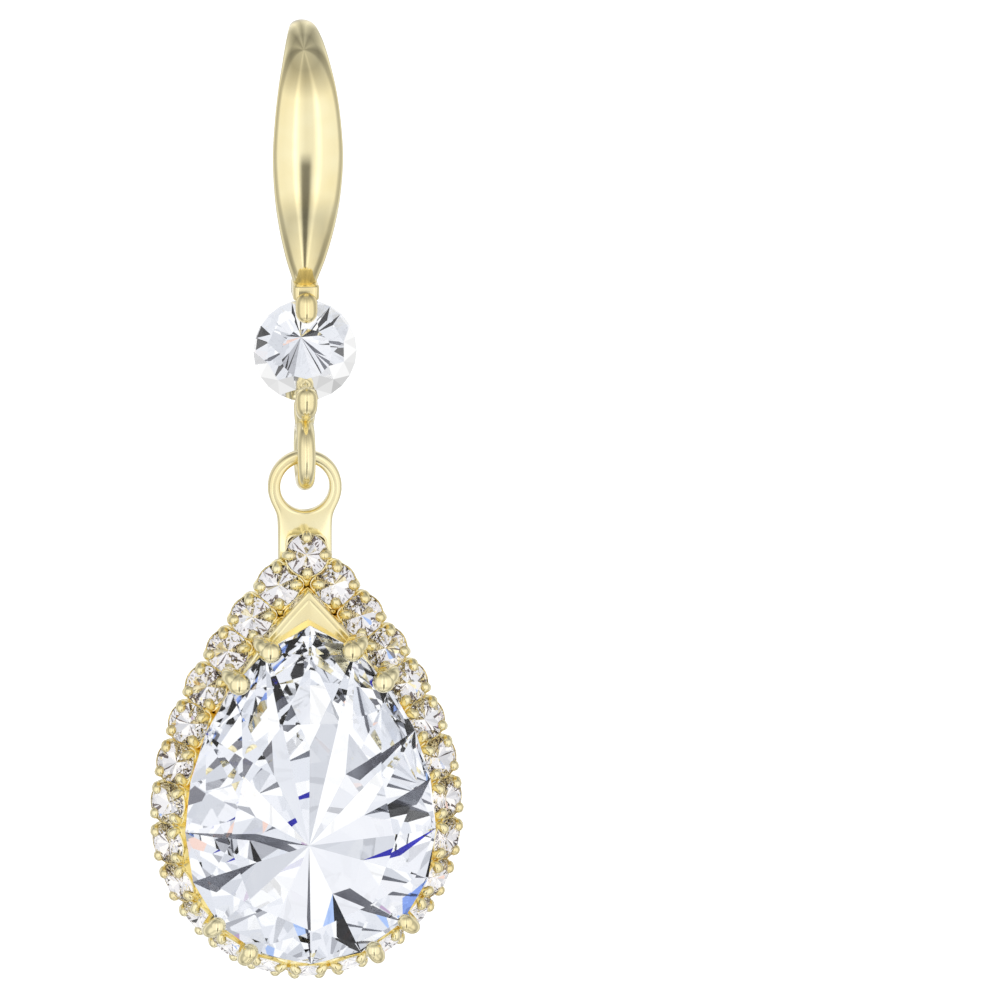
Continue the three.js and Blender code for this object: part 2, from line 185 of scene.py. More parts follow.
def light_tent():
    scene = bpy.context.scene
    scene.world = bpy.data.worlds.new("light_tent")
    scene.world.use_nodes = True
    tree = scene.world.node_tree
    tree.nodes.clear()
    way = node(tree, "ShaderNodeTexCoord").outputs["Generated"]
    split = node(tree, "ShaderNodeSeparateXYZ", {0: way}).outputs
    turn = maths(tree, "ARCTAN2", split["X"], maths(tree, "MULTIPLY", split["Y"], -1.0))
    around = maths(tree, "MULTIPLY_ADD", turn, 0.5 / math.pi, 0.5)
    rise = maths(tree, "MULTIPLY_ADD", maths(tree, "ARCSINE", split["Z"]), 1.0 / math.pi, 0.5)
    panels = mix(tree, 1.0, ramp(tree, around, TENT_ROUND), ramp(tree, rise, TENT_UP), "MULTIPLY")
    gap = mix(tree, ramp(tree, rise, GAP_UP), panels, ramp(tree, around, GAP_ROUND), "MULTIPLY")
    shifted = node(tree, "ShaderNodeVectorMath", {0: way, 1: PATCH_SHIFT}, operation="ADD").outputs[0]
    cells = node(tree, "ShaderNodeTexVoronoi", {"Vector": shifted, "Scale": PATCH_SCALE})
    pick = node(tree, "ShaderNodeSeparateColor", {0: cells.outputs["Color"]}).outputs[0]
    patches = ramp(tree, pick, STONE_PATCHES, "CONSTANT")
    path = node(tree, "ShaderNodeLightPath").outputs
    bent = mix(tree, path["Is Transmission Ray"], gap, patches)
    shown = mix(tree, path["Is Camera Ray"], bent, WHITE)
    light = node(tree, "ShaderNodeBackground", {"Color": shown, "Strength": 1.0})
    output = node(tree, "ShaderNodeOutputWorld")
    tree.links.new(light.outputs[0], output.inputs[0])
    scene.view_settings.view_transform = "Standard"
    scene.cycles.max_bounces = STONE_BOUNCES
    scene.cycles.transmission_bounces = STONE_BOUNCES
    scene.cycles.glossy_bounces = METAL_BOUNCES
    print("tent nodes:", len(tree.nodes))


light_tent()

# %% [markdown]
# The floor is a pale sheet well below the earring. It glows a little, as a lit table does, so that it
# stays as white as the background.

# %% Floor
FLOOR_BELOW = 40.0 * MM
FLOOR_HALF = 3.0
FLOOR_GLOW = 0.8


def add_floor():
    z = cad_low.z - FLOOR_BELOW
    mesh = bpy.data.meshes.new("floor")
    corners = [(-FLOOR_HALF, -FLOOR_HALF, z), (FLOOR_HALF, -FLOOR_HALF, z),
               (FLOOR_HALF, FLOOR_HALF, z), (-FLOOR_HALF, FLOOR_HALF, z)]
    mesh.from_pydata(corners, [], [(0, 1, 2, 3)])
    floor = bpy.data.objects.new("floor", mesh)
    bpy.context.scene.collection.objects.link(floor)
    material = bpy.data.materials.new("pale_floor")
    material.use_nodes = True
    shader = material.node_tree.nodes["Principled BSDF"]
    shader.inputs["Base Color"].default_value = (0.8, 0.8, 0.8, 1.0)
    shader.inputs["Roughness"].default_value = 0.9
    shader.inputs["Specular IOR Level"].default_value = 0.0
    shader.inputs["Emission Color"].default_value = WHITE
    shader.inputs["Emission Strength"].default_value = FLOOR_GLOW
    mesh.materials.append(material)
    floor.visible_glossy = False
    floor.visible_transmission = False
    print("floor at z, mm:", round(z / MM, 1))


add_floor()

# %% [markdown]
# Every metal piece is a skin: a grid of points worked out in one go, where one direction runs along
# the piece and the other runs round it. A few skins that are soldered together make one piece. It
# could be modelled by hand with curves and subdivision, but a formula leaves no dents in the polish.

# %% Skins
SHARP_ANGLE = math.radians(50.0)


def skin(grid, ends="fan"):
    """Points and faces of a closed skin over grid[along, around]. Each row is a loop. The ends are
    closed with a fan round the row's middle, or joined to each other where ends is "ring"."""
    rows, sides = grid.shape[:2]
    points = grid.reshape(-1, 3)
    strips = rows if ends == "ring" else rows - 1
    row, side = np.meshgrid(np.arange(strips), np.arange(sides), indexing="ij")
    up, over = (row + 1) % rows, (side + 1) % sides
    low, high = row * sides, up * sides
    quads = np.stack([low + side, low + over, high + over, high + side], -1)
    faces = quads.reshape(-1, 4).tolist()
    if ends == "fan":
        middles = grid[[0, -1]].mean(axis=1)
        points = np.vstack([points, middles])
        edge = np.arange(sides)
        after = (edge + 1) % sides
        first, last = rows * sides, (rows - 1) * sides
        faces += np.stack([after, edge, np.full(sides, first)], -1).tolist()
        faces += np.stack([last + edge, last + after, np.full(sides, first + 1)], -1).tolist()
    halves = [f[:3] for f in faces] + [[f[0], f[2], f[3]] for f in faces if len(f) == 4]
    corners = np.array(halves)
    a, b, c = points[corners[:, 0]], points[corners[:, 1]], points[corners[:, 2]]
    if np.einsum("ij,ij->", a, np.cross(b, c)) < 0:
        faces = [f[::-1] for f in faces]
    return points, faces


def piece(name, skins, material, body, stands_for):
    """One object from its skins, in millimetres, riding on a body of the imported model."""
    points, faces, start = [], [], 0
    for part_points, part_faces in skins:
        points.append(part_points)
        faces += [[i + start for i in face] for face in part_faces]
        start += len(part_points)
    mesh = bpy.data.meshes.new(name)
    mesh.from_pydata((np.vstack(points) * MM).tolist(), [], faces)
    mesh.polygons.foreach_set("use_smooth", np.ones(len(faces), bool))
    mesh.set_sharp_from_angle(angle=SHARP_ANGLE)
    mesh.materials.append(material)
    made = bpy.data.objects.new(name, mesh)
    bpy.context.scene.collection.objects.link(made)
    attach(made, body)
    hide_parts(stands_for)
    print(name, "faces:", len(faces))
    return made


# %% [markdown]
# Claws, prongs and the neck are round bars along a curve. A short table of places is enough for each:
# a smooth curve is laid through its rows, and a circle is carried along it. Boxes with rounded edges
# are lofted through a few levels in the same way.

# %% Curves
END_ANGLES = np.radians([25.0, 48.0, 66.0, 80.0, 89.0])
BALL_GAP = 0.02


def smooth_rows(table, count):
    """Values between the rows of a table, on a Catmull-Rom curve: each stretch is a cubic whose slope
    at a row is half the step from the row before to the row after."""
    table = np.array(table, float)
    padded = np.vstack([2 * table[0] - table[1], table, 2 * table[-1] - table[-2]])
    t = np.linspace(0, len(table) - 1, count)
    i = np.minimum(t.astype(int), len(table) - 2)
    f = (t - i)[:, None]
    p0, p1, p2, p3 = padded[i], padded[i + 1], padded[i + 2], padded[i + 3]
    slope, square, cube = p2 - p0, 2 * p0 - 5 * p1 + 4 * p2 - p3, 3 * (p1 - p2) + p3 - p0
    return p1 + 0.5 * f * (slope + f * (square + f * cube))


def unit(vectors):
    return vectors / np.linalg.norm(vectors, axis=-1, keepdims=True)


def tube(path, radii, sides=20, side_way=(1.0, 0.0, 0.0)):
    """A round bar along a path: at each point a circle square to the path, with its own radius. Its
    ends are rounded: the bar runs on by r sin(a) while its radius falls to r cos(a)."""
    path, radii = np.array(path, float), np.array(radii, float)
    along = unit(np.gradient(path, axis=0))
    a = END_ANGLES[:, None]
    start = path[0] - along[0] * radii[0] * np.sin(a[::-1])
    end = path[-1] + along[-1] * radii[-1] * np.sin(a)
    path = np.vstack([start, path, end])
    extra = len(END_ANGLES)
    along = np.vstack([np.repeat(along[:1], extra, 0), along, np.repeat(along[-1:], extra, 0)])
    radii = np.concatenate([radii[0] * np.cos(a[::-1, 0]), radii, radii[-1] * np.cos(a[:, 0])])
    side = unit(np.array(side_way) - along * (along @ np.array(side_way))[:, None])
    up = np.cross(along, side)
    turn = np.linspace(0, 2 * np.pi, sides, endpoint=False)[None, :, None]
    ring = np.cos(turn) * side[:, None] + np.sin(turn) * up[:, None]
    return skin(path[:, None] + ring * radii[:, None, None])


def smooth_bar(places, radii, count, **settings):
    """A round bar whose middle line and radius run smoothly through the rows of two tables."""
    return tube(smooth_rows(places, count), smooth_rows([[r] for r in radii], count)[:, 0], **settings)


def ball(centre, radius, sides=20, rows=12, squash=(1.0, 1.0, 1.0)):
    """A ball of rings: each ring's radius is r sin(a) at height r cos(a)."""
    a = np.linspace(BALL_GAP, np.pi - BALL_GAP, rows)[:, None]
    turn = np.linspace(0, 2 * np.pi, sides, endpoint=False)[None, :]
    grid = np.stack([np.sin(a) * np.cos(turn), np.sin(a) * np.sin(turn), np.cos(a) + 0 * turn], -1)
    return skin(np.array(centre) + grid * radius * np.array(squash))


def rounded_box(wide, deep, edge, per_corner=6):
    """Points round a rectangle with round corners, as two arrays across and through."""
    corner = np.radians(np.linspace(0, 90, per_corner))
    across, through = [], []
    for i, (cx, cy) in enumerate([(1, 1), (-1, 1), (-1, -1), (1, -1)]):
        turn = corner + np.pi / 2 * i
        across += (cx * (wide / 2 - edge) + np.cos(turn) * edge).tolist()
        through += (cy * (deep / 2 - edge) + np.sin(turn) * edge).tolist()
    return np.array(across), np.array(through)


def lofted_box(levels, wide, deep, edge, per_corner=6, ends="fan"):
    """A box with rounded upright edges through levels of (scale, height, shift to the back)."""
    across, through = rounded_box(wide, deep, edge, per_corner)
    scale, height, back = np.array(levels).T[:, :, None]
    return skin(np.stack([scale * across, back + scale * through, height + 0 * across], -1), ends)


# %% [markdown]
# The metal is a pale yellow gold plate over brass. Plate is never quite even: the colour drifts from
# champagne to a deeper yellow, and handling leaves the polish a little duller in places. Fine noise
# in the object's own space does both, and a faint bump keeps the long reflections alive.

# %% Gold plate
GOLD_PALE = (0.97, 0.88, 0.56)
GOLD_DEEP = (0.92, 0.78, 0.42)
DRIFT_SCALE, WEAR_SCALE = 260.0, 900.0
GRAIN_HEIGHT = 0.02 * MM


def clouded(name, scale, detail, stops):
    """A material whose colour drifts through stops, by noise in the object's own space. Also gives its
    shader and its place in space, for the rest of the finish."""
    material = bpy.data.materials.new(name)
    material.use_nodes = True
    tree = material.node_tree
    shader = tree.nodes["Principled BSDF"]
    place = node(tree, "ShaderNodeTexCoord").outputs["Object"]
    cloud = node(tree, "ShaderNodeTexNoise", {"Vector": place, "Scale": scale, "Detail": detail})
    tree.links.new(ramp(tree, cloud.outputs["Fac"], stops), shader.inputs["Base Color"])
    return material, shader, place


def gold_plate(name, roughness, grain):
    material, shader, place = clouded(name, DRIFT_SCALE, 3.0, [(0.3, GOLD_DEEP), (0.6, GOLD_PALE)])
    tree = material.node_tree
    noise = node(tree, "ShaderNodeTexNoise", {"Vector": place, "Scale": WEAR_SCALE, "Detail": 5.0})
    wear = noise.outputs["Fac"]
    reach = {"From Min": 0.3, "From Max": 0.75, "To Min": roughness * 0.8, "To Max": roughness * 1.6}
    dull = node(tree, "ShaderNodeMapRange", {"Value": wear, **reach})
    tree.links.new(dull.outputs["Result"], shader.inputs["Roughness"])
    bump = node(tree, "ShaderNodeBump", {"Height": wear, "Strength": grain, "Distance": GRAIN_HEIGHT})
    tree.links.new(bump.outputs["Normal"], shader.inputs["Normal"])
    shader.inputs["Metallic"].default_value = 1.0
    print(name, "roughness:", roughness)
    return material


polished_gold = gold_plate("polished_gold", roughness=0.08, grain=0.05)
cast_gold = gold_plate("cast_gold", roughness=0.13, grain=0.2)

# %% [markdown]
# A cut stone is a set of flat facets. In front are the table, the star and kite facets and the upper
# girdle facets. Behind are the long facets that run to a point. Fashion stones have a mirror foil on
# these back facets, so each one throws back one even tone. The glass shader lets light in through the
# front, and the foil is a bright metal on the back of the same mesh.

# %% Glass and foil
FOIL_ROUGHNESS = 0.02


def stone_glass(name, tint, deep, ior):
    material, shader, _ = clouded(name, 180.0, 2.0, [(0.35, deep), (0.65, tint)])
    shader.inputs["Transmission Weight"].default_value = 1.0
    shader.inputs["IOR"].default_value = ior
    shader.inputs["Roughness"].default_value = 0.0
    return material


def stone_foil(name, tint, deep):
    material, shader, _ = clouded(name, 300.0, 3.0, [(0.35, deep), (0.65, tint)])
    shader.inputs["Metallic"].default_value = 1.0
    shader.inputs["Roughness"].default_value = FOIL_ROUGHNESS
    return material


pear_glass = stone_glass("pear_glass", (1.0, 1.0, 1.0), (0.985, 0.99, 1.0), 1.5)
round_glass = stone_glass("round_glass", (1.0, 1.0, 1.0), (0.98, 0.985, 0.99), 1.75)
halo_glass = stone_glass("halo_glass", (1.0, 0.995, 0.985), (0.99, 0.975, 0.96), 1.5)
silver_foil = stone_foil("silver_foil", (0.99, 0.993, 1.0), (0.97, 0.977, 0.99))
warm_foil = stone_foil("warm_foil", (1.0, 0.99, 0.985), (0.98, 0.96, 0.95))
# The shade, grey and black foils are painted shade: dark reflections of the room painted onto shards of the
# back facets. The blue and sky foils are painted flashes of the colour a stone splits off.
painted_shade_foil = stone_foil("painted_shade_foil", (0.28, 0.23, 0.22), (0.13, 0.10, 0.09))
painted_grey_reflection_foil = stone_foil("painted_grey_reflection_foil", (0.26, 0.27, 0.30), (0.09, 0.09, 0.11))
painted_black_reflection_foil = stone_foil("painted_black_reflection_foil", (0.05, 0.05, 0.06), (0.02, 0.02, 0.02))
painted_blue_flash_foil = stone_foil("painted_blue_flash_foil", (0.03, 0.03, 0.55), (0.02, 0.02, 0.38))
painted_sky_flash_foil = stone_foil("painted_sky_flash_foil", (0.30, 0.45, 0.95), (0.22, 0.36, 0.85))
print("glass and foil:", len([m for m in bpy.data.materials if m.name.endswith(("_glass", "_foil"))]))

# %% [markdown]
# A cut is five rings of corners and a point: the table, the crown, the front and back of the girdle, a
# lower ring, and the point behind. It could be sliced from a block with planes, but naming each facet
# by ring and number places it directly. A stone glitters where facets reflect something dark or split off
# colour, and here that is painted: small shards of the back facets get a darker or blue foil, a painted
# dark reflection or a painted coloured flash.

# %% Facets
def facets(table, crown, girdle_front, girdle_back, lower, point):
    """Corners and faces of a brilliant, and how many of its faces belong to the front. The rings have
    n, n, 2n, 2n and n corners; k runs over the n main facets."""
    n = len(table)
    corners = np.vstack([table, crown, girdle_front, girdle_back, lower, point])
    k = np.arange(n)
    after, before = (k + 1) % n, (k - 1) % n
    # Where each ring starts: table, crown, front and back of the girdle, lower ring, and the point.
    t, c, g, h, w, tip = 0, n, 2 * n, 4 * n, 6 * n, 7 * n
    left, mid, right = 2 * k, 2 * k + 1, 2 * after
    front = [k[::-1].tolist()]
    front += np.stack([t + k, t + after, c + k], -1).tolist()
    front += np.stack([t + k, c + k, g + left, c + before], -1).tolist()
    front += np.stack([c + k, g + mid, g + left], -1).tolist()
    front += np.stack([c + k, g + right, g + mid], -1).tolist()
    j = np.arange(2 * n)
    over = (j + 1) % (2 * n)
    front += np.stack([g + j, g + over, h + over, h + j], -1).tolist()
    back = np.stack([w + k, h + left, h + mid], -1).tolist()
    back += np.stack([w + k, h + mid, h + right], -1).tolist()
    back += np.stack([h + left, w + k, np.full(n, tip)], -1).tolist()
    back += np.stack([h + left, np.full(n, tip), w + before], -1).tolist()
    return corners, front + back, len(front)


def split_facets(cut, painted_reflections):
    """Cuts small shards out of back facets for painted reflections. A painted reflection (facet, a, b,
    keep, slot) puts a point inside, at (1 - a - b) first + a second + b third corner. It makes three
    triangles of the facet, and the one numbered keep gets its own material, a painted dark or coloured
    foil."""
    corners, faces, fronts = cut
    corners, faces = np.array(corners), list(faces)
    slots = [0 if number < fronts else 1 for number in range(len(faces))]
    for facet, a, b, keep, slot in painted_reflections:
        facet += fronts
        first, second, third = faces[facet]
        point = len(corners)
        inside = corners[first] * (1 - a - b) + corners[second] * a + corners[third] * b
        corners = np.vstack([corners, inside])
        parts = [[first, second, point], [second, third, point], [third, first, point]]
        tones = [slot if number == keep else 1 for number in range(3)]
        faces[facet], slots[facet] = parts[0], tones[0]
        faces += parts[1:]
        slots += tones[1:]
    return corners, faces, slots


def stone_piece(name, cut, materials, painted_reflections, body, stands_for):
    """One stone with glass in front and foil behind. The painted reflections get other foils: darker ones
    for painted shade, blue ones for painted flashes.
    """
    corners, faces, slots = split_facets(cut, painted_reflections)
    mesh = bpy.data.meshes.new(name)
    mesh.from_pydata((corners * MM).tolist(), [], faces)
    for material in materials:
        mesh.materials.append(material)
    mesh.polygons.foreach_set("material_index", np.array(slots, np.int32))
    made = bpy.data.objects.new(name, mesh)
    bpy.context.scene.collection.objects.link(made)
    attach(made, body)
    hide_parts(stands_for)
    return made


# %% [markdown]
# The hook is one bar. Behind the ear it is a plain round wire. Over the crest it flattens and widens
# into the leaf, whose face is a long curved mirror, and it narrows again to a neck. Rows of a short
# table give the middle line, the width, and the bulge of the outer and the inner side. A bevelled
# curve could make the wire, but not the leaf's pointed oval section.

# %% Hook
HOOK_ROWS = [  # y, z, width, outer bulge, inner bulge
    (5.2, -9.6, 0.7, 0.35, 0.35),
    (5.05, -8.0, 0.8, 0.4, 0.4),
    (4.75, -5.9, 0.8, 0.4, 0.4),
    (4.2, -3.6, 0.8, 0.4, 0.4),
    (3.3, -1.7, 0.85, 0.4, 0.4),
    (1.9, -0.2, 1.0, 0.4, 0.4),
    (0.0, 0.4, 1.35, 0.4, 0.4),
    (-1.45, 0.1, 1.85, 0.45, 0.36),
    (-2.7, -0.75, 2.4, 0.52, 0.36),
    (-3.6, -2.1, 3.0, 0.62, 0.38),
    (-4.0, -3.7, 3.42, 0.7, 0.4),
    (-4.05, -5.6, 3.64, 0.74, 0.42),
    (-3.75, -7.6, 3.42, 0.72, 0.42),
    (-3.15, -9.4, 2.9, 0.66, 0.4),
    (-2.35, -11.2, 2.1, 0.58, 0.38),
    (-1.6, -12.6, 1.25, 0.48, 0.4),
    (-1.35, -13.2, 1.0, 0.42, 0.42),
]
TAIL_SHARE = 1 / 90  # of the hook's length, for the rounding of its end


def hook_skin(rows=220, sides=48):
    """Across the hook: x = w/2 cos(a), and sin(a) times the outer or inner bulge square to the middle
    line. The tail's end is rounded by shrinking its last rows as a quarter circle."""
    y, z, width, outer, inner = smooth_rows(HOOK_ROWS, rows).T
    middle = np.stack([0 * y, y, z], -1)
    along = unit(np.gradient(middle, axis=0))
    outward = np.stack([0 * y, along[:, 2], -along[:, 1]], -1)
    turn = np.linspace(0, 2 * np.pi, sides, endpoint=False)
    bulge = np.where(np.sin(turn) > 0, outer[:, None], inner[:, None]) * np.sin(turn)
    reach = np.clip(np.linspace(0, 1, rows) / TAIL_SHARE, 0, 1)
    shrink = np.sqrt(np.clip(1 - (1 - reach) ** 2, 1e-4, 1))[:, None]
    grid = middle[:, None] + (bulge * shrink)[..., None] * outward[:, None]
    grid[..., 0] = np.cos(turn) * width[:, None] * 0.5 * shrink
    return skin(grid)


hook_leaf = piece("hook_leaf", [hook_skin()], polished_gold, "hook", "ear_hook")

# %% [markdown]
# Under the leaf a small collar is soldered on, then a bar that bends over the top edge of the round
# stone. A spine behind the stone joins it to the lower claw, and the ring is soldered to that. The
# stone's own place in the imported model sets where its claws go.

# %% Round stone's claws and the ring
stone_low, stone_high = (np.array(corner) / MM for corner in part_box("round_stone"))
STONE_Z = (stone_low[2] + stone_high[2]) / 2
STONE_RADIUS = (stone_high[2] - stone_low[2]) / 2
STONE_Y = -1.75
CLAW_LIFT = {1: 0.3, -1: 0.42}  # how far the upper and the lower claw stand off the stone's edge
CLAW_RADII = [0.57, 0.57, 0.52, 0.48, 0.44, 0.38, 0.36]
SPINE_BACK, SPINE_RADIUS, SPINE_HALF = 2.86, 0.36, 0.6
COLLAR_WIDE, COLLAR_DEEP, COLLAR_EDGE = 1.34, 2.3, 0.28
COLLAR_LEVELS = [  # scale, height, y
    (0.9, -12.62, -1.82), (0.97, -12.66, -1.82), (1.0, -12.74, -1.81),
    (1.0, -13.32, -1.7), (0.97, -13.4, -1.69), (0.9, -13.44, -1.69),
]
NECK_LINE, NECK_RADII = [(0, -1.55, -19.2), (0, -1.4, -19.7), (0, -1.3, -20.2)], [0.58, 0.56, 0.5]
SOLDER_CENTRE, SOLDER_RADIUS = (0, -1.35, -20.0), 0.52
RING_CENTRE, RING_RADIUS, RING_WIRE = (0.0, -1.3, -21.8), 1.48, 0.47


def stone_claw(side):
    """One claw from its tip on the stone's face, round the edge, to the spine behind the stone. Its
    rows hold how far it is behind the stone's middle plane, and how far out from the stone's axis."""
    edge, lift = STONE_RADIUS, STONE_RADIUS + CLAW_LIFT[side]
    rows = [(-1.12, edge - 0.42), (-1.0, edge + 0.05), (-0.55, lift), (0.1, lift + 0.1), (0.8, lift),
            (2.0, 1.6), (SPINE_BACK, 0.5)]
    path = [(0.0, STONE_Y + behind, STONE_Z + side * out) for behind, out in rows]
    return smooth_bar(path, CLAW_RADII, 48)


def ring_skin(centre, radius, wire, steps=72, sides=24):
    """A ring in the plane x = 0: a circle of the wire's radius carried round a larger circle."""
    around = np.linspace(0, 2 * np.pi, steps, endpoint=False)
    turn = np.linspace(0, 2 * np.pi, sides, endpoint=False)
    way = np.stack([0 * around, np.cos(around), np.sin(around)], -1)[:, None]
    out = np.cos(turn)[None, :, None] * way + np.sin(turn)[None, :, None] * np.array([1.0, 0.0, 0.0])
    return skin(np.array(centre) + way * radius + out * wire, ends="ring")


def holder_skins():
    spine = [(0, STONE_Y + SPINE_BACK, STONE_Z + SPINE_HALF), (0, STONE_Y + SPINE_BACK + 0.04, STONE_Z),
             (0, STONE_Y + SPINE_BACK, STONE_Z - SPINE_HALF)]
    return [
        stone_claw(1),
        stone_claw(-1),
        tube(spine, [SPINE_RADIUS] * 3),
        lofted_box(COLLAR_LEVELS, COLLAR_WIDE, COLLAR_DEEP, COLLAR_EDGE),
        tube(NECK_LINE, NECK_RADII),
        ball(SOLDER_CENTRE, SOLDER_RADIUS),
        ring_skin(RING_CENTRE, RING_RADIUS, RING_WIRE),
    ]


stone_claws = piece("stone_claws", holder_skins(), cast_gold, "hook", "ear_hook")

# %% [markdown]
# Teardrop outlines shape everything in the drop. The right-hand half runs from the top to the bottom.
# Above the widest place it is a power curve, whose two powers set how full the shoulders are and how
# blunt the tip is. Below it is half an ellipse.

# %% Teardrop outlines
HALO_LINE = dict(half=7.3, middle=-41.0, top=-26.87, bottom=-48.87, bend=1.9, blunt=1.0)
WALL_OUTER = dict(half=6.32, middle=-41.0, top=-28.45, bottom=-48.05, bend=1.9, blunt=1.0)
WALL_INNER = dict(half=5.88, middle=-41.0, top=-29.1, bottom=-47.6, bend=1.9, blunt=1.0)
WALL_MIDDLE = dict(half=6.1, middle=-41.0, top=-28.8, bottom=-47.85, bend=1.9, blunt=1.0)
RAIL_OUTER = dict(half=6.85, middle=-41.0, top=-27.4, bottom=-48.4, bend=1.9, blunt=1.0)
SEAT_INNER = dict(half=5.0, middle=-41.2, top=-31.9, bottom=-46.5, bend=2.1, blunt=0.8)
PEAR_LINE = dict(half=6.5, middle=-41.2, top=-30.06, bottom=-48.05, bend=2.1, blunt=0.7)
FINE_POINTS = 1601


def outline(line, count):
    """Points an equal way apart, clockwise from the top. With t the share of the height, the half
    width is half (1 - t^bend)^blunt above the middle and an ellipse below it."""
    turn = np.linspace(-np.pi, np.pi, FINE_POINTS)
    height = np.cos(turn)
    upper = line["half"] * (1 - np.clip(height, 0, 1) ** line["bend"]) ** line["blunt"]
    wide = np.where(height > 0, upper, line["half"] * np.abs(np.sin(turn)))
    reach = np.where(height > 0, line["top"] - line["middle"], line["middle"] - line["bottom"])
    points = np.stack([np.sign(turn) * wide, line["middle"] + height * reach], -1)
    way = np.concatenate([[0], np.cumsum(np.linalg.norm(np.diff(points, axis=0), axis=1))])
    wanted = (np.arange(count) / count + 0.5) % 1 * way[-1]
    return np.stack([np.interp(wanted, way, values) for values in points.T], -1)


def band(outer, inner, front, back, edge=0.12, steps=240):
    """A flat teardrop band: a rounded rectangle carried round between an outer and an inner outline.
    Across it the share s runs from one outline to the other, and y from the front to the back."""
    a, b = outline(outer, steps), outline(inner, steps)
    wide = np.linalg.norm(a - b, axis=1).mean()
    corner = np.radians(np.linspace(0, 90, 5))
    s, y = [], []
    for i, (cs, cy) in enumerate([(0, 0), (1, 0), (1, 1), (0, 1)]):
        turn = corner + np.pi * (1 + 0.5 * i)
        s += (abs(cs - edge / wide) + np.cos(turn) * edge / wide).tolist()
        y += (front + edge + cy * (back - front - 2 * edge) + np.sin(turn) * edge).tolist()
    s, y = np.array(s), np.array(y)
    flat = a[:, None] * (1 - s)[None, :, None] + b[:, None] * s[None, :, None]
    depth = np.broadcast_to(y, flat.shape[:2])
    return skin(np.stack([flat[..., 0], depth, flat[..., 1]], -1), ends="ring")


print("halo line, widest at x, mm:", round(outline(HALO_LINE, 400)[:, 0].max(), 2))

# %% [markdown]
# The drop's frame is a tall wall that follows the teardrop, a seat plate inside it that the pear stone
# rests on, and a lower rail outside it that the halo's cups are soldered to. Each could be a bevelled
# curve. Here a rounded rectangle is carried between two outlines, which keeps the tip crisp.

# %% Wall, seat and rail
WALL_FRONT_BACK, SEAT_FRONT_BACK, RAIL_FRONT_BACK = (-4.3, -1.2), (-4.33, -3.5), (-2.3, -1.26)
frame_skins = [
    band(WALL_OUTER, WALL_INNER, *WALL_FRONT_BACK),
    band(WALL_MIDDLE, SEAT_INNER, *SEAT_FRONT_BACK),
    band(RAIL_OUTER, WALL_MIDDLE, *RAIL_FRONT_BACK),
]
drop_wall = piece("drop_wall", frame_skins, cast_gold, "drop", "drop_frame")

# %% [markdown]
# A flat loop hangs in the ring. It runs into a tab that goes down behind the halo. A boolean could cut
# the hole, but one formula says how far the metal reaches in each direction from the hole, so that the
# loop, the tab and the fillet between them are one clean skin.

# %% Loop and tab
LOOP_CENTRE, LOOP_OUTER, LOOP_HOLE, LOOP_THICK = (0.0, -1.3, -23.55), 1.91, 1.27, 0.8
TAB_HALF, TAB_REACH = 1.39, 4.8
FILLET_POWER = 10


def loop_reach(around):
    """How far the metal runs out from the hole's middle in each direction: the loop's circle, and below
    it the tab, whose side is at w / |sin a| and whose end is at h / |cos a|. The two meet in a fillet:
    the tenth root of the sum of the tenth powers."""
    side = TAB_HALF / np.maximum(np.abs(np.sin(around)), 1e-3)
    end = TAB_REACH / np.maximum(-np.cos(around), 1e-3)
    tab = np.where(np.cos(around) < -0.05, np.minimum(side, end), 0.0)
    return (LOOP_OUTER ** FILLET_POWER + tab ** FILLET_POWER) ** (1 / FILLET_POWER)


def loop_skin(steps=288, edge=0.24):
    """A plate with rounded edges between the hole and the loop's reach, carried round the hole."""
    around = np.linspace(0, 2 * np.pi, steps, endpoint=False)
    reach = loop_reach(around)[:, None]
    corner = np.radians(np.linspace(0, 90, 6))
    rim = reach - edge + edge * np.cos(corner)
    hole = LOOP_HOLE + edge - edge * np.cos(corner) + 0 * reach
    lift = LOOP_THICK / 2 - edge + edge * np.sin(corner)
    radius = np.hstack([rim, hole[:, ::-1], hole, rim[:, ::-1]])
    depth = np.concatenate([lift, lift[::-1], -lift, -lift[::-1]])
    around = around[:, None]
    grid = np.stack([np.sin(around) * radius, 0 * around + depth, np.cos(around) * radius], -1)
    return skin(np.array(LOOP_CENTRE) + grid, ends="ring")


drop_loop = piece("drop_loop", [loop_skin()], cast_gold, "drop", "drop_frame")

# %% [markdown]
# Eight claws hold the pear stone. Each leaves the wall, goes out round the stone's edge and ends on
# its face: in a round bead near the tip, and in a smooth rounded end near the bottom. The places come
# from the stone's outline, and each claw on the right has its mirror image on the left.

# %% Pear stone's claws
UPPER_CLAWS, LOWER_CLAWS = (0.895, 0.745), (0.66, 0.87)  # shares of the height above and below the middle
UPPER_WAY = 0.6  # rise of the upper claws' way out, in radians
GIRDLE_Y = -5.2
PEAR_CLAW_ROWS = [(0.05, -4.1), (0.5, -4.7), (0.6, -5.2), (0.45, -5.75), (0.02, -5.98)]  # out, y
PEAR_CLAW_RADII = [0.34, 0.34, 0.34, 0.4, 0.46]
BEAD_OUT, BEAD_Y, BEAD_RADIUS, BEAD_SQUASH = -0.05, -5.98, 0.6, (1.0, 0.85, 0.95)


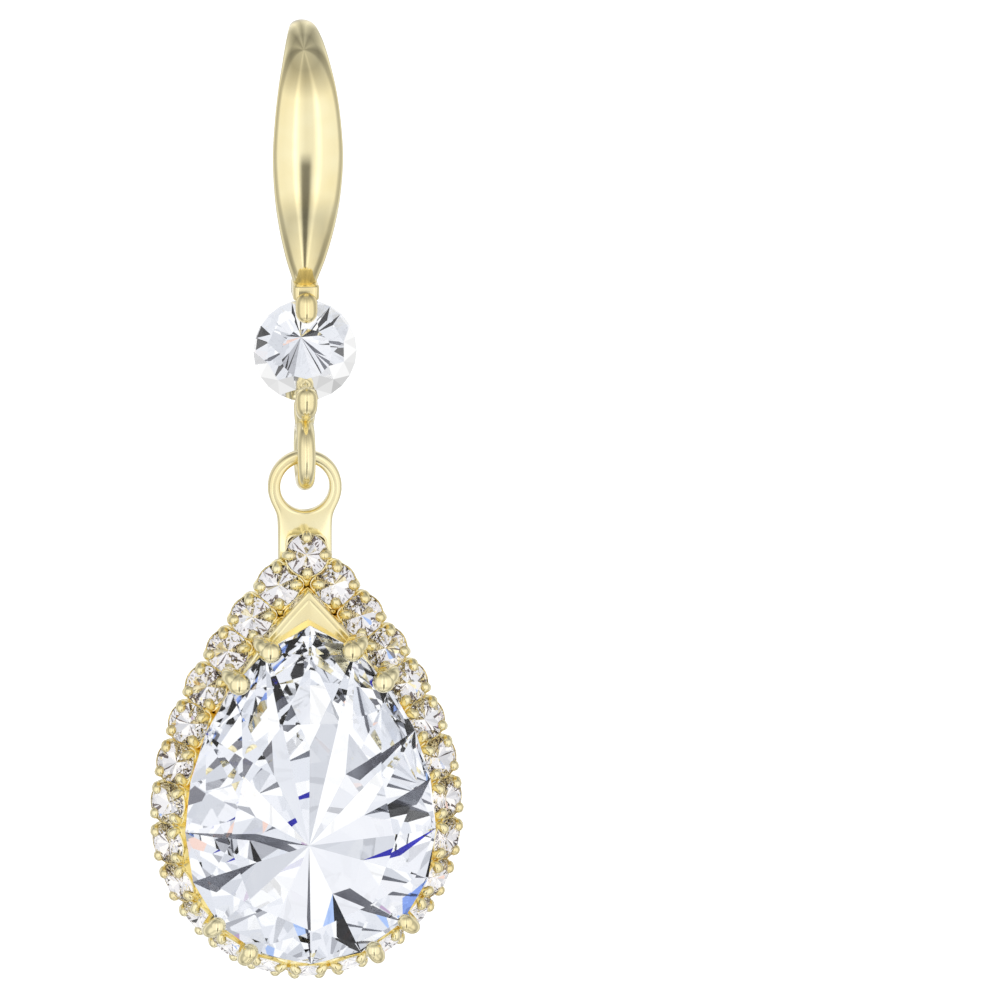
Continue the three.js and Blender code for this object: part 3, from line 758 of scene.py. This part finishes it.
def claw_places():
    """Each claw's place on the stone's outline and the way out of it, for the right-hand side."""
    half, middle, top, bottom = (PEAR_LINE[key] for key in ("half", "middle", "top", "bottom"))
    places = []
    for height in UPPER_CLAWS:
        wide = half * (1 - height ** PEAR_LINE["bend"]) ** PEAR_LINE["blunt"]
        place = (wide, middle + height * (top - middle))
        places.append((place, (math.cos(UPPER_WAY), math.sin(UPPER_WAY)), True))
    for drop in LOWER_CLAWS:
        turn = math.asin(drop)
        place = (half * math.cos(turn), middle - drop * (middle - bottom))
        places.append((place, (math.cos(turn), -math.sin(turn)), False))
    return places


def pear_claw(place, way, upper, side):
    def at(out, y):
        return (side * (place[0] + way[0] * out), y, place[1] + way[1] * out)

    path = [at(out, y) for out, y in PEAR_CLAW_ROWS]
    skins = [smooth_bar(path, PEAR_CLAW_RADII, 30, side_way=(-side * way[1], 0.0, way[0]))]
    if upper:
        skins.append(ball(at(BEAD_OUT, BEAD_Y), BEAD_RADIUS, squash=BEAD_SQUASH))
    return skins


pear_claw_skins = []
for claw_place, claw_way, is_upper in claw_places():
    for side in (1, -1):
        pear_claw_skins += pear_claw(claw_place, claw_way, is_upper, side)
pear_claws = piece("pear_claws", pear_claw_skins, polished_gold, "drop", "drop_frame")

# %% [markdown]
# Each small stone sits in a cup with four prongs. The cups turn outwards more and more from the top
# to the bottom. A cup is worked out in its own space, face up, and then carried to its place. They are
# joined into one mesh, because on the real piece they are soldered to one rail.

# %% Halo cups
halo_names = sorted(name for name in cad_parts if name.startswith("halo_stone"))
HALO_COUNT = len(halo_names)
HALO_Y = -2.85
TILT_TOP, TILT_BOTTOM = math.radians(12), math.radians(68)
BOWL_PROFILE = np.array([  # radius, height
    (0.02, -1.15), (0.74, -1.15), (0.84, -1.1), (0.95, -0.8), (1.1, -0.2), (1.16, -0.1),
    (1.16, 0.0), (1.12, 0.03), (1.08, -0.04), (0.98, -0.2), (0.5, -0.62), (0.02, -0.92),
])
BOX_WIDE, BOX_EDGE = 2.14, 0.4
BOX_LEVELS = [  # scale, height, shift: up the outside, over the rim and down the inside
    (0.86, -0.98, 0.0), (0.96, -0.93, 0.0), (1.0, -0.8, 0.0), (1.0, -0.2, 0.0), (0.98, -0.12, 0.0),
    (0.92, -0.1, 0.0), (0.88, -0.16, 0.0), (0.84, -0.4, 0.0), (0.7, -0.9, 0.0),
]
PRONG_REACH = 0.735 * math.sqrt(2)
PRONG_ROWS = [(-0.1, -0.85), (0.02, -0.1), (0.02, 0.06), (-0.14, 0.17)]  # past the reach, height
PRONG_RADII = [0.22, 0.23, 0.25, 0.28]


def halo_frames():
    """For each cup its middle and three unit vectors: along the halo, across it and out of the face."""
    places = outline(HALO_LINE, HALO_COUNT)
    along = unit(np.roll(places, -1, 0) - np.roll(places, 1, 0))
    along = np.stack([along[:, 0], 0 * along[:, 0], along[:, 1]], -1)
    outward = np.stack([-along[:, 2], 0 * along[:, 0], along[:, 0]], -1)
    down = (1 - np.cos(np.arange(HALO_COUNT) / HALO_COUNT * 2 * np.pi)) / 2
    tilt = (TILT_TOP + (TILT_BOTTOM - TILT_TOP) * down)[:, None]
    face = np.array([0.0, -1.0, 0.0]) * np.cos(tilt) + outward * np.sin(tilt)
    middle = np.stack([places[:, 0], 0 * places[:, 0] + HALO_Y, places[:, 1]], -1)
    return middle, along, np.cross(face, along), face


def cup_skins(turned):
    """One cup: a bowl turned from its profile, a square box round it, and four prongs that lean in
    over the stone."""
    around = np.linspace(0, 2 * np.pi, 28, endpoint=False)[:, None]
    radius, height = BOWL_PROFILE.T
    grid = np.stack([np.cos(around) * radius, np.sin(around) * radius, 0 * around + height], -1)
    skins = [skin(grid.transpose(1, 0, 2)), lofted_box(BOX_LEVELS, BOX_WIDE, BOX_WIDE, BOX_EDGE, 5, "ring")]
    for corner in range(4):
        turn = (corner + (1.0 if turned else 0.5)) * math.pi / 2
        out = np.array([math.cos(turn), math.sin(turn), 0.0])
        path = [out * (PRONG_REACH + past) + (0, 0, height) for past, height in PRONG_ROWS]
        skins.append(smooth_bar(path, PRONG_RADII, 10, sides=12, side_way=(-out[1], out[0], 0.0)))
    return skins


def placed(skins, middle, along, across, face):
    """Skins carried from their own space to a cup's place."""
    own_to_drop = np.stack([along, across, face])
    return [(middle + points @ own_to_drop, faces) for points, faces in skins]


all_cups = []
for number, placing in enumerate(zip(*halo_frames())):
    all_cups += placed(cup_skins(number == 0), *placing)
halo_cups = piece("halo_cups", all_cups, cast_gold, "drop", "drop_frame")

# %% [markdown]
# The pear stone's rings are its outline drawn in towards a middle point. That point lies low in the
# drop, so the upper facets are long and the lower ones short. The back is shallow: light goes in,
# meets the foil once and comes out again, and each facet shows as one large bright shard.

# %% Pear stone
PEAR_MAINS = 9
PEAR_MIDDLE = np.array([0.0, -42.0])
PEAR_DEPTH = 2.25
STEP_POINTS = 20
# Scale of the outline, depth behind the girdle, and steps round from the tip, for each ring.
PEAR_RINGS = {"table": (0.66, -1.35, -0.5), "crown": (0.88, -0.72, 0.0), "front": (1.0, -0.08, -1.0),
              "back": (1.0, 0.08, -1.0), "lower": (0.45, 1.5, 0.0)}
# Painted reflections, as shards in other foil: the back facet, the place of its point, which part, and
# the foil, of which 2 is a painted grey and 3 a painted black reflection, 4 a painted deep blue and 5 a
# painted sky blue flash. Facets 0 to 17 lie between the girdle and the lower ring, round from the tip.
# From 18 on they are the halves of the main facets.
PEAR_PAINTED_REFLECTIONS = [
    (3, 0.3, 0.16, 0, 4), (12, 0.25, 0.5, 1, 5), (22, 0.3, 0.34, 0, 2), (23, 0.16, 0.3, 2, 2),
    (25, 0.3, 0.4, 2, 2), (11, 0.4, 0.3, 0, 2), (6, 0.3, 0.4, 2, 2), (13, 0.3, 0.3, 0, 3),
    (29, 0.3, 0.34, 2, 2),
]


def pear_ring(key):
    scale, depth, phase = PEAR_RINGS[key]
    count = PEAR_MAINS * (2 if key in ("front", "back") else 1)
    fine = outline(PEAR_LINE, count * STEP_POINTS)
    flat = np.roll(fine, -int(phase * STEP_POINTS), axis=0)[::STEP_POINTS]
    flat = PEAR_MIDDLE + (flat - PEAR_MIDDLE) * scale
    return np.stack([flat[:, 0], np.full(count, GIRDLE_Y + depth), flat[:, 1]], -1)


pear_rings = [pear_ring(key) for key in PEAR_RINGS]
pear_point = np.array([[0.0, GIRDLE_Y + PEAR_DEPTH, PEAR_MIDDLE[1]]])
pear_materials = (pear_glass, silver_foil, painted_grey_reflection_foil, painted_black_reflection_foil, painted_blue_flash_foil, painted_sky_flash_foil)
pear_crystal = stone_piece("pear_crystal", facets(*pear_rings, pear_point), pear_materials, PEAR_PAINTED_REFLECTIONS,
                           "drop", "pear_stone")
print("pear crystal faces:", len(pear_crystal.data.polygons))

# %% [markdown]
# The small stones share one cut, with eight kites in front and eight main facets behind. Which facets
# hold a painted dark reflection, a shard of darker foil, changes from stone to stone, so that no two
# neighbours look the same.

# %% Halo stones
HALO_RADIUS, HALO_DEPTH, HALO_MAINS = 1.08, 0.45, 8
HALO_SHAPE = [(0.56, 0.32, 0.0), (0.80, 0.22, 0.5), (1.0, 0.03, 0.0), (1.0, -0.03, 0.0), (0.5, -0.26, 0.5)]


def round_rings(mains, radius, shape):
    """Rings of corners of a round stone in its own space, face up: (scale, height, share of a step)."""
    rings = []
    for number, (scale, height, phase) in enumerate(shape):
        count = mains * 2 if number in (2, 3) else mains
        turn = (np.arange(count) + phase) / count * 2 * np.pi
        rings.append(np.stack([np.sin(turn) * radius * scale, np.cos(turn) * radius * scale,
                               np.full(count, height)], -1))
    return rings


def halo_painted_reflections(number):
    """Painted dark reflections for one stone, in a quarter of the outer back facets and a fifth of the main
    halves.
    """
    halves = range(2 * HALO_MAINS)
    outer = [(j, 0.3, 0.35, 0, 2) for j in halves if (3 * j + number) % 4 == 0]
    return outer + [(len(halves) + j, 0.3, 0.4, 0, 2) for j in halves if (3 * j + number) % 5 == 0]


halo_point = np.array([[0.0, 0.0, -HALO_DEPTH]])
halo_cut = facets(*round_rings(HALO_MAINS, HALO_RADIUS, HALO_SHAPE), halo_point)
for number, (halo_name, placing) in enumerate(zip(halo_names, zip(*halo_frames()))):
    [(corners, faces)] = placed([halo_cut[:2]], *placing)
    stone_piece(halo_name.replace("stone", "crystal"), (corners, faces, halo_cut[2]),
                (halo_glass, warm_foil, painted_shade_foil), halo_painted_reflections(number), "drop", halo_name)
print("halo stones:", len(halo_names))

# %% [markdown]
# The round stone has twelve main facets and is deeper behind. Shards of grey and black foil, painted
# dark reflections, run in towards its point, and give the painted dark rays round its middle. Its cut is
# worked out face up, and then stood upright to face the viewer.

# %% Round stone
ROUND_MAINS, ROUND_DEPTH = 12, 1.3
ROUND_SHAPE = [(0.5, 0.8, 0.0), (0.76, 0.5, 0.5), (1.0, 0.06, 0.0), (1.0, -0.06, 0.0), (0.34, -0.9, 0.5)]
# The outer and main shards are painted dark reflections in grey and black foil.
OUTER_PAINTED_SHARDS = (0, 1, 3, 4, 6, 8, 9, 11, 13, 14, 16, 18, 19, 21, 23)
MAIN_PAINTED_SHARDS = (24, 27, 28, 31, 34, 37, 38, 41, 43, 46)
ROUND_PAINTED_REFLECTIONS = [(j, 0.3, 0.26, j % 3, 2 + j % 2) for j in OUTER_PAINTED_SHARDS]
ROUND_PAINTED_REFLECTIONS += [(j, 0.25, 0.45, j % 2, 2 + j % 2) for j in MAIN_PAINTED_SHARDS]
round_point = np.array([[0.0, 0.0, -ROUND_DEPTH]])
face_up, up_faces, round_fronts = facets(*round_rings(ROUND_MAINS, STONE_RADIUS, ROUND_SHAPE), round_point)
round_corners = np.stack([face_up[:, 0], STONE_Y - face_up[:, 2], STONE_Z + face_up[:, 1]], -1)
round_cut = (round_corners, [face[::-1] for face in up_faces], round_fronts)
round_crystal = stone_piece("round_crystal", round_cut, (round_glass, silver_foil, painted_grey_reflection_foil, painted_black_reflection_foil),
                            ROUND_PAINTED_REFLECTIONS, "hook", "round_stone")
print("round crystal faces:", len(round_crystal.data.polygons))
